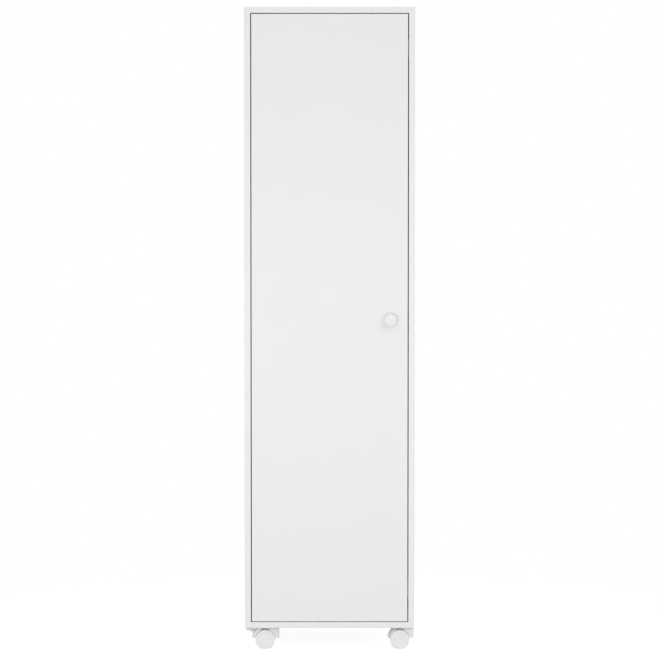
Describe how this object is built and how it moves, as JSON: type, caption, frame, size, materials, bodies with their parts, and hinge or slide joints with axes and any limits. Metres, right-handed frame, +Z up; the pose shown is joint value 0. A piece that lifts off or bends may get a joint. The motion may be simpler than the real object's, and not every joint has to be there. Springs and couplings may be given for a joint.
{
  "type": "broom cupboard",
  "caption": "Tall narrow white lacquered cupboard with an inset full-height door, a small round knob, an upper shelf and a peg rail, on hooded twin-wheel castors.",
  "frame": {"origin": "on the floor under the middle of the bounding box, knob included", "axes": "+Z up, -Y out of the door's face, +X to the viewer's right when facing the door"},
  "size_m": [0.45, 0.404, 1.702],
  "materials": {
    "white_lacquer": "fibreboard with a smooth satin white lacquer",
    "knob_lacquer": "turned wood with a satin white lacquer",
    "castor_plastic": "moulded white plastic, fine satin",
    "hood_plastic": "moulded off-white plastic, fine satin",
    "white_plastic": "moulded white plastic",
    "zinc_steel": "bright zinc-plated steel",
    "dark_steel": "dark phosphated steel, dull",
    "grey_plastic": "grey nylon",
    "magnet": "matt dark ferrite",
    "beech": "plain beech"
  },
  "bodies": {
    "carcass": {"side_left": "white_lacquer", "side_right": "white_lacquer", "top_panel": "white_lacquer", "bottom_panel": "white_lacquer", "back_panel": "white_lacquer", "shelf": "white_lacquer", "shelf_pins": "zinc_steel", "bottom_dowels": "beech", "top_dowels": "beech", "rail_dowels": "beech", "peg_rail": "white_lacquer", "hanging_pegs": "zinc_steel", "pivot_plate_top": "zinc_steel", "pivot_plate_bottom": "zinc_steel", "pivot_pin_bottom": "dark_steel", "pivot_pin_top": "dark_steel", "pivot_screws": "zinc_steel", "thrust_washer": "grey_plastic", "catch_housing_bottom": "white_plastic", "catch_housing_top": "white_plastic", "catch_magnet_bottom": "magnet", "catch_magnet_top": "magnet", "catch_screws": "zinc_steel", "castor_pins": "zinc_steel", "castor_screws": "zinc_steel", "front_left_castor_plate": "zinc_steel", "front_right_castor_plate": "zinc_steel", "rear_left_castor_plate": "zinc_steel", "rear_right_castor_plate": "zinc_steel"},
    "door": {"door_panel": "white_lacquer", "knob": "knob_lacquer", "knob_screw": "zinc_steel", "pivot_bush_bottom": "white_plastic", "pivot_bush_top": "white_plastic", "strike_plate_bottom": "zinc_steel", "strike_plate_top": "zinc_steel", "strike_screws": "zinc_steel"},
    "front_left_castor": {"front_left_castor_hood": "hood_plastic", "front_left_castor_axle": "zinc_steel", "front_left_brake_pin": "zinc_steel"},
    "front_left_front_wheel": {"front_left_front_wheel": "castor_plastic"},
    "front_left_back_wheel": {"front_left_back_wheel": "castor_plastic"},
    "front_left_brake": {"front_left_brake_lever": "hood_plastic"},
    "front_right_castor": {"front_right_castor_hood": "hood_plastic", "front_right_castor_axle": "zinc_steel"},
    "front_right_front_wheel": {"front_right_front_wheel": "castor_plastic"},
    "front_right_back_wheel": {"front_right_back_wheel": "castor_plastic"},
    "rear_left_castor": {"rear_left_castor_hood": "hood_plastic", "rear_left_castor_axle": "zinc_steel"},
    "rear_left_front_wheel": {"rear_left_front_wheel": "castor_plastic"},
    "rear_left_back_wheel": {"rear_left_back_wheel": "castor_plastic"},
    "rear_right_castor": {"rear_right_castor_hood": "hood_plastic", "rear_right_castor_axle": "zinc_steel", "rear_right_brake_pin": "zinc_steel"},
    "rear_right_front_wheel": {"rear_right_front_wheel": "castor_plastic"},
    "rear_right_back_wheel": {"rear_right_back_wheel": "castor_plastic"},
    "rear_right_brake": {"rear_right_brake_lever": "hood_plastic"}
  },
  "joints": [
    {"name": "door_hinge", "type": "hinge", "parent": "carcass", "child": "door", "pos_m": [-0.1914, -0.17, 0.881], "axis": [0, 0, -1], "range_deg": [0, 110]},
    {"name": "front_left_swivel", "type": "hinge", "parent": "carcass", "child": "front_left_castor", "pos_m": [-0.152, -0.136, 0.045], "axis": [0, 0, 1], "continuous": true},
    {"name": "front_left_front_wheel_roll", "type": "hinge", "parent": "front_left_castor", "child": "front_left_front_wheel", "pos_m": [-0.172, -0.15175, 0.026], "axis": [0, 1, 0], "continuous": true},
    {"name": "front_left_back_wheel_roll", "type": "hinge", "parent": "front_left_castor", "child": "front_left_back_wheel", "pos_m": [-0.172, -0.12025, 0.026], "axis": [0, 1, 0], "continuous": true},
    {"name": "front_left_brake_press", "type": "hinge", "parent": "front_left_castor", "child": "front_left_brake", "pos_m": [-0.1972, -0.136, 0.0437], "axis": [0, -1, 0], "range_deg": [0, 15]},
    {"name": "front_right_swivel", "type": "hinge", "parent": "carcass", "child": "front_right_castor", "pos_m": [0.2069, -0.136, 0.045], "axis": [0, 0, 1], "continuous": true},
    {"name": "front_right_front_wheel_roll", "type": "hinge", "parent": "front_right_castor", "child": "front_right_front_wheel", "pos_m": [0.1869, -0.15175, 0.026], "axis": [0, 1, 0], "continuous": true},
    {"name": "front_right_back_wheel_roll", "type": "hinge", "parent": "front_right_castor", "child": "front_right_back_wheel", "pos_m": [0.1869, -0.12025, 0.026], "axis": [0, 1, 0], "continuous": true},
    {"name": "rear_left_swivel", "type": "hinge", "parent": "carcass", "child": "rear_left_castor", "pos_m": [-0.152, 0.16, 0.045], "axis": [0, 0, 1], "continuous": true},
    {"name": "rear_left_front_wheel_roll", "type": "hinge", "parent": "rear_left_castor", "child": "rear_left_front_wheel", "pos_m": [-0.172, 0.14425, 0.026], "axis": [0, 1, 0], "continuous": true},
    {"name": "rear_left_back_wheel_roll", "type": "hinge", "parent": "rear_left_castor", "child": "rear_left_back_wheel", "pos_m": [-0.172, 0.17575, 0.026], "axis": [0, 1, 0], "continuous": true},
    {"name": "rear_right_swivel", "type": "hinge", "parent": "carcass", "child": "rear_right_castor", "pos_m": [0.2069, 0.16, 0.045], "axis": [0, 0, 1], "continuous": true},
    {"name": "rear_right_front_wheel_roll", "type": "hinge", "parent": "rear_right_castor", "child": "rear_right_front_wheel", "pos_m": [0.1869, 0.14425, 0.026], "axis": [0, 1, 0], "continuous": true},
    {"name": "rear_right_back_wheel_roll", "type": "hinge", "parent": "rear_right_castor", "child": "rear_right_back_wheel", "pos_m": [0.1869, 0.17575, 0.026], "axis": [0, 1, 0], "continuous": true},
    {"name": "rear_right_brake_press", "type": "hinge", "parent": "rear_right_castor", "child": "rear_right_brake", "pos_m": [0.1617, 0.16, 0.0437], "axis": [0, -1, 0], "range_deg": [0, 15]}
  ]
}
